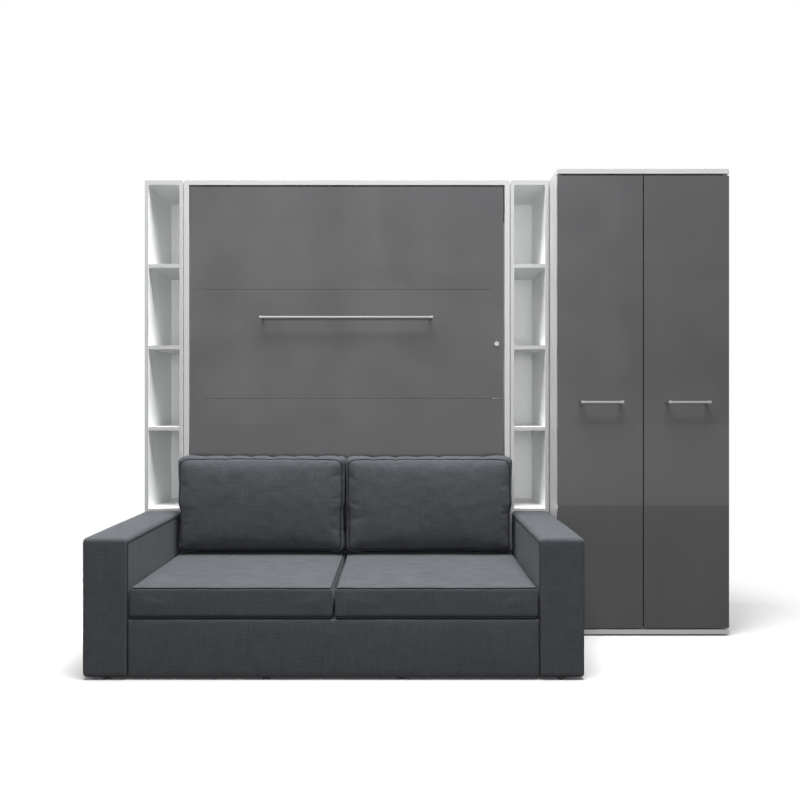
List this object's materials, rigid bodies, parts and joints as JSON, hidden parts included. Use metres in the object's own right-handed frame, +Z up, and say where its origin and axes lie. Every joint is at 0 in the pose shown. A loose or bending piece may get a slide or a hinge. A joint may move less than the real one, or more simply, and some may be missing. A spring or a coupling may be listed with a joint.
{
  "type": "murphy wall bed",
  "caption": "Vertical fold-down wall bed in a white and gloss-grey cabinet, with side bookcases, a sofa in front and a wardrobe beside it.",
  "frame": {"origin": "on the floor, under the middle of the whole set", "axes": "+X along the wall to the right as seen from the room, +Y towards the wall, +Z up"},
  "size_m": [2.788, 1.108, 2.178],
  "materials": {
    "white_board": "white laminate, satin",
    "gloss_front": "grey high-gloss lacquer",
    "chrome": "satin chrome",
    "steel": "brushed",
    "birch": "bare birch plywood",
    "sofa_fabric": "slate-grey woven fabric",
    "ticking": "quilted mattress ticking",
    "strap_web": "woven webbing",
    "dark_plastic": "matte",
    "strut_black": "black paint"
  },
  "bodies": {
    "cabinet": {"bed_side_left": "white_board", "bed_side_right": "white_board", "bed_top_panel": "white_board", "bed_floor_board": "white_board", "rear_rails": "white_board", "left_bookcase_sides": "white_board", "left_bookcase_top": "white_board", "left_bookcase_shelves": "white_board", "left_bookcase_back": "white_board", "right_bookcase_sides": "white_board", "right_bookcase_top": "white_board", "right_bookcase_shelves": "white_board", "right_bookcase_back": "white_board", "wardrobe_sides": "white_board", "wardrobe_top": "white_board", "wardrobe_bottom": "white_board", "wardrobe_back": "white_board", "wardrobe_shelf": "white_board", "kick_panel": "gloss_front", "pivot_plates": "steel", "strut_anchors": "steel", "lock_strike": "steel", "hanging_rail": "chrome", "hinge_arms": "chrome", "rest_stops": "dark_plastic", "wardrobe_glides": "dark_plastic", "sofa_glides": "dark_plastic", "sofa_arm_left": "sofa_fabric", "sofa_arm_right": "sofa_fabric", "sofa_front_apron": "sofa_fabric", "sofa_back_board": "sofa_fabric", "seat_cushion_left": "sofa_fabric", "seat_cushion_right": "sofa_fabric", "back_cushion_left": "sofa_fabric", "back_cushion_right": "sofa_fabric", "sofa_deck": "sofa_fabric"},
    "bed": {"front_panels": "gloss_front", "bed_rail_left": "birch", "bed_rail_right": "birch", "head_rail": "birch", "foot_rail": "birch", "slats": "birch", "mattress": "ticking", "mattress_straps": "strap_web", "bed_handle": "chrome", "pivot_pins": "steel", "lock_housing": "chrome"},
    "lock": {"lock_barrel": "chrome"},
    "leg_left": {"foot_leg_left": "steel"},
    "leg_right": {"foot_leg_right": "steel"},
    "strut_left": {"strut_cylinder_left": "strut_black"},
    "strut_right": {"strut_cylinder_right": "strut_black"},
    "rod_left": {"strut_rod_left": "chrome"},
    "rod_right": {"strut_rod_right": "chrome"},
    "door_left": {"wardrobe_door_left": "gloss_front", "door_handle_left": "chrome", "hinge_cups_left": "chrome"},
    "door_right": {"wardrobe_door_right": "gloss_front", "door_handle_right": "chrome", "hinge_cups_right": "chrome"}
  },
  "joints": [
    {"name": "bed_fold", "type": "hinge", "parent": "cabinet", "child": "bed", "pos_m": [-0.402, 0.197, 0.43], "axis": [1, 0, 0], "range_deg": [0, 90], "deforming": ["back_cushion_left", "back_cushion_right"]},
    {"name": "lock_turn", "type": "hinge", "parent": "bed", "child": "lock", "pos_m": [0.3335, 0.17, 1.376], "axis": [0, -1, 0], "range_deg": [0, 90]},
    {"name": "leg_left_swing", "type": "hinge", "parent": "bed", "child": "leg_left", "pos_m": [-1.09, 0.21, 2.148], "axis": [0, 0, -1], "range_deg": [0, 90]},
    {"name": "leg_right_swing", "type": "hinge", "parent": "bed", "child": "leg_right", "pos_m": [0.286, 0.21, 2.148], "axis": [0, 0, 1], "range_deg": [0, 90]},
    {"name": "door_left_swing", "type": "hinge", "parent": "cabinet", "child": "door_left", "pos_m": [0.594, -0.01, 1.09], "axis": [0, 0, -1], "range_deg": [0, 90]},
    {"name": "door_right_swing", "type": "hinge", "parent": "cabinet", "child": "door_right", "pos_m": [1.394, -0.01, 1.09], "axis": [0, 0, 1], "range_deg": [0, 110]},
    {"name": "strut_left_swing", "type": "hinge", "parent": "cabinet", "child": "strut_left", "pos_m": [-1.15, 0.327, 0.91], "axis": [1, 0, 0], "range_deg": [0, 18.94]},
    {"name": "rod_left_slide", "type": "slide", "parent": "strut_left", "child": "rod_left", "axis": [0, 0.1275, 0.9918], "range_m": [0, 0.2572]},
    {"name": "strut_right_swing", "type": "hinge", "parent": "cabinet", "child": "strut_right", "pos_m": [0.346, 0.327, 0.91], "axis": [1, 0, 0], "range_deg": [0, 18.94]},
    {"name": "rod_right_slide", "type": "slide", "parent": "strut_right", "child": "rod_right", "axis": [0, 0.1275, 0.9918], "range_m": [0, 0.2572]}
  ],
  "couplings": [
    {"joint": "leg_left_swing", "follows": "bed_fold", "ratio": 1},
    {"joint": "leg_right_swing", "follows": "bed_fold", "ratio": 1},
    {"joint": "strut_left_swing", "follows": "bed_fold", "ratio": 0.20985},
    {"joint": "rod_left_slide", "follows": "bed_fold", "m_per_rad": 0.16339},
    {"joint": "strut_right_swing", "follows": "bed_fold", "ratio": 0.20985},
    {"joint": "rod_right_slide", "follows": "bed_fold", "m_per_rad": 0.16339}
  ]
}
